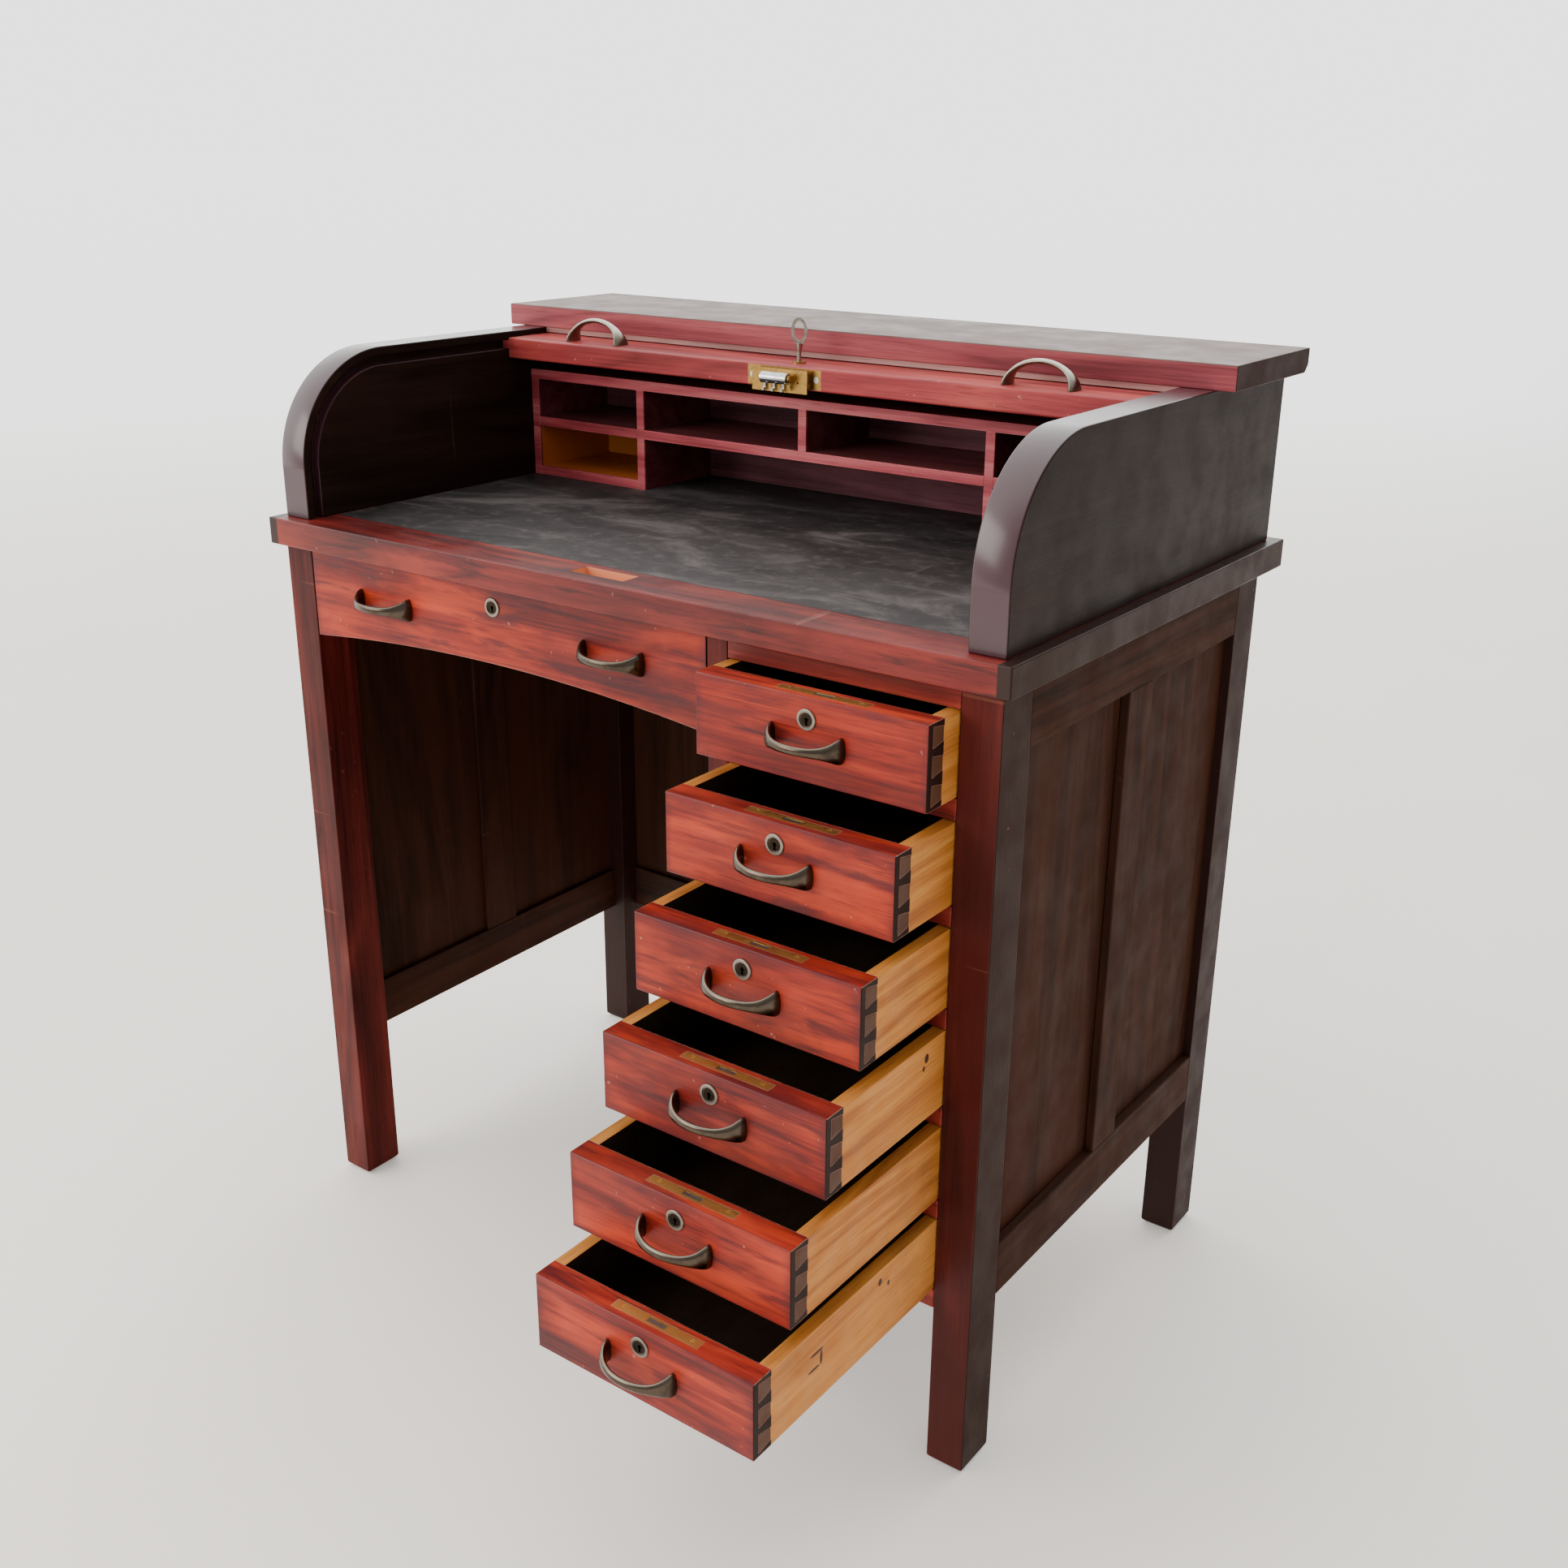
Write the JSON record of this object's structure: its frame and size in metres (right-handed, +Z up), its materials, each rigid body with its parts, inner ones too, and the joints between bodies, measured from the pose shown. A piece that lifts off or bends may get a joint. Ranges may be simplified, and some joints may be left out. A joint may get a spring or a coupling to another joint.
{
  "type": "roll top desk",
  "caption": "Wooden writing desk with a rolling curtain, pigeonholes, a wide drawer over the kneehole and a pedestal of locking drawers.",
  "frame": {"origin": "on the floor, under the middle of the desk top", "axes": "+Z up, -Y towards the sitter, +X towards the drawer pedestal"},
  "size_m": [0.865, 0.8145, 0.9625],
  "materials": {
    "leg_wood": "dark varnished mahogany, grain along the length",
    "side_wood": "dark brown varnished oak",
    "back_wood": "brown varnished boards",
    "inner_wood": "plain unvarnished beech",
    "top_wood": "red-brown varnished mahogany",
    "writing_surface": "worn charcoal leathercloth",
    "cheek_wood": "brown varnished mahogany",
    "board_wood": "sun-bleached varnished mahogany",
    "pigeonhole_wood": "dusty red varnish",
    "pigeonhole_back_wood": "thin plywood",
    "rail_wood": "red varnished mahogany",
    "curtain_canvas": "unbleached canvas glued to the slats",
    "drawer_front_wood": "red varnished mahogany",
    "drawer_box_wood": "unvarnished pine and beech",
    "lock_brass": "worn sheet brass",
    "bolt_steel": "plain steel",
    "handle_bronze": "dark aged bronze",
    "rail_handle_brass": "worn brass",
    "hook_chrome": "bright plating",
    "key_steel": "dull nickel-plated steel"
  },
  "bodies": {
    "desk": {"legs": "leg_wood", "left_side_frame": "side_wood", "right_side_frame": "side_wood", "back_frame": "back_wood", "frame_panels": "side_wood", "pedestal_inner_side": "back_wood", "drawer_rails": "drawer_front_wood", "drawer_runners": "inner_wood", "desk_top": "top_wood", "writing_inset": "writing_surface", "left_cheek": "cheek_wood", "right_cheek": "cheek_wood", "top_board": "board_wood", "top_front_strip": "rail_wood", "superstructure_back": "back_wood", "pigeonhole_case": "pigeonhole_wood", "pigeonhole_back": "pigeonhole_back_wood", "stored_curtain": "rail_wood"},
    "drawer_1": {"drawer_1_front": "drawer_front_wood", "drawer_1_box": "drawer_box_wood", "drawer_1_lock": "lock_brass", "drawer_1_handle": "handle_bronze"},
    "drawer_1_bolt": {"drawer_1_lock_bolt": "bolt_steel"},
    "drawer_2": {"drawer_2_front": "drawer_front_wood", "drawer_2_box": "drawer_box_wood", "drawer_2_lock": "lock_brass", "drawer_2_handle": "handle_bronze"},
    "drawer_2_bolt": {"drawer_2_lock_bolt": "bolt_steel"},
    "drawer_3": {"drawer_3_front": "drawer_front_wood", "drawer_3_box": "drawer_box_wood", "drawer_3_lock": "lock_brass", "drawer_3_handle": "handle_bronze"},
    "drawer_3_bolt": {"drawer_3_lock_bolt": "bolt_steel"},
    "drawer_4": {"drawer_4_front": "drawer_front_wood", "drawer_4_box": "drawer_box_wood", "drawer_4_lock": "lock_brass", "drawer_4_handle": "handle_bronze"},
    "drawer_4_bolt": {"drawer_4_lock_bolt": "bolt_steel"},
    "drawer_5": {"drawer_5_front": "drawer_front_wood", "drawer_5_box": "drawer_box_wood", "drawer_5_lock": "lock_brass", "drawer_5_handle": "handle_bronze"},
    "drawer_5_bolt": {"drawer_5_lock_bolt": "bolt_steel"},
    "drawer_6": {"drawer_6_front": "drawer_front_wood", "drawer_6_box": "drawer_box_wood", "drawer_6_lock": "lock_brass", "drawer_6_handle": "handle_bronze"},
    "drawer_6_bolt": {"drawer_6_lock_bolt": "bolt_steel"},
    "wide_drawer": {"wide_drawer_front": "drawer_front_wood", "wide_drawer_box": "drawer_box_wood", "wide_drawer_lock": "lock_brass", "wide_drawer_handles": "handle_bronze"},
    "wide_drawer_bolt": {"wide_drawer_lock_bolt": "bolt_steel"},
    "curtain": {"lead_rail": "rail_wood", "lead_rail_handles": "rail_handle_brass", "tambour_lock": "lock_brass", "tambour_slats": "rail_wood", "tambour_canvas": "curtain_canvas"},
    "curtain_key": {"tambour_key": "key_steel"},
    "curtain_hook_bolt": {"tambour_hook_bolt": "hook_chrome"}
  },
  "joints": [
    {"name": "drawer_1_slide", "type": "slide", "parent": "desk", "child": "drawer_1", "axis": [0, -1, 0], "range_m": [-0.044, 0.296]},
    {"name": "drawer_1_lock_throw", "type": "slide", "parent": "drawer_1", "child": "drawer_1_bolt", "axis": [0, 0, 1], "range_m": [0, 0.006]},
    {"name": "drawer_2_slide", "type": "slide", "parent": "desk", "child": "drawer_2", "axis": [0, -1, 0], "range_m": [-0.085, 0.255]},
    {"name": "drawer_2_lock_throw", "type": "slide", "parent": "drawer_2", "child": "drawer_2_bolt", "axis": [0, 0, 1], "range_m": [0, 0.006]},
    {"name": "drawer_3_slide", "type": "slide", "parent": "desk", "child": "drawer_3", "axis": [0, -1, 0], "range_m": [-0.127, 0.213]},
    {"name": "drawer_3_lock_throw", "type": "slide", "parent": "drawer_3", "child": "drawer_3_bolt", "axis": [0, 0, 1], "range_m": [0, 0.006]},
    {"name": "drawer_4_slide", "type": "slide", "parent": "desk", "child": "drawer_4", "axis": [0, -1, 0], "range_m": [-0.17, 0.17]},
    {"name": "drawer_4_lock_throw", "type": "slide", "parent": "drawer_4", "child": "drawer_4_bolt", "axis": [0, 0, 1], "range_m": [0, 0.006]},
    {"name": "drawer_5_slide", "type": "slide", "parent": "desk", "child": "drawer_5", "axis": [0, -1, 0], "range_m": [-0.214, 0.126]},
    {"name": "drawer_5_lock_throw", "type": "slide", "parent": "drawer_5", "child": "drawer_5_bolt", "axis": [0, 0, 1], "range_m": [0, 0.006]},
    {"name": "drawer_6_slide", "type": "slide", "parent": "desk", "child": "drawer_6", "axis": [0, -1, 0], "range_m": [-0.26, 0.08]},
    {"name": "drawer_6_lock_throw", "type": "slide", "parent": "drawer_6", "child": "drawer_6_bolt", "axis": [0, 0, 1], "range_m": [0, 0.006]},
    {"name": "wide_drawer_slide", "type": "slide", "parent": "desk", "child": "wide_drawer", "axis": [0, -1, 0], "range_m": [0, 0.34]},
    {"name": "wide_drawer_lock_throw", "type": "slide", "parent": "wide_drawer", "child": "wide_drawer_bolt", "axis": [0, 0, 1], "range_m": [0, 0.006]},
    {"name": "curtain_slide", "type": "slide", "parent": "desk", "child": "curtain", "axis": [0, -1, 0], "range_m": [0, 0.095]},
    {"name": "key_turn", "type": "hinge", "parent": "curtain", "child": "curtain_key", "pos_m": [-0.005, 0.058, 0.93], "axis": [0, 0, 1], "range_deg": [0, 180]},
    {"name": "hook_bolt_turn", "type": "hinge", "parent": "curtain", "child": "curtain_hook_bolt", "pos_m": [-0.005, 0.0185, 0.908], "axis": [-1, 0, 0], "range_deg": [0, 90]}
  ],
  "couplings": [
    {"joint": "hook_bolt_turn", "follows": "key_turn", "ratio": 0.5}
  ]
}
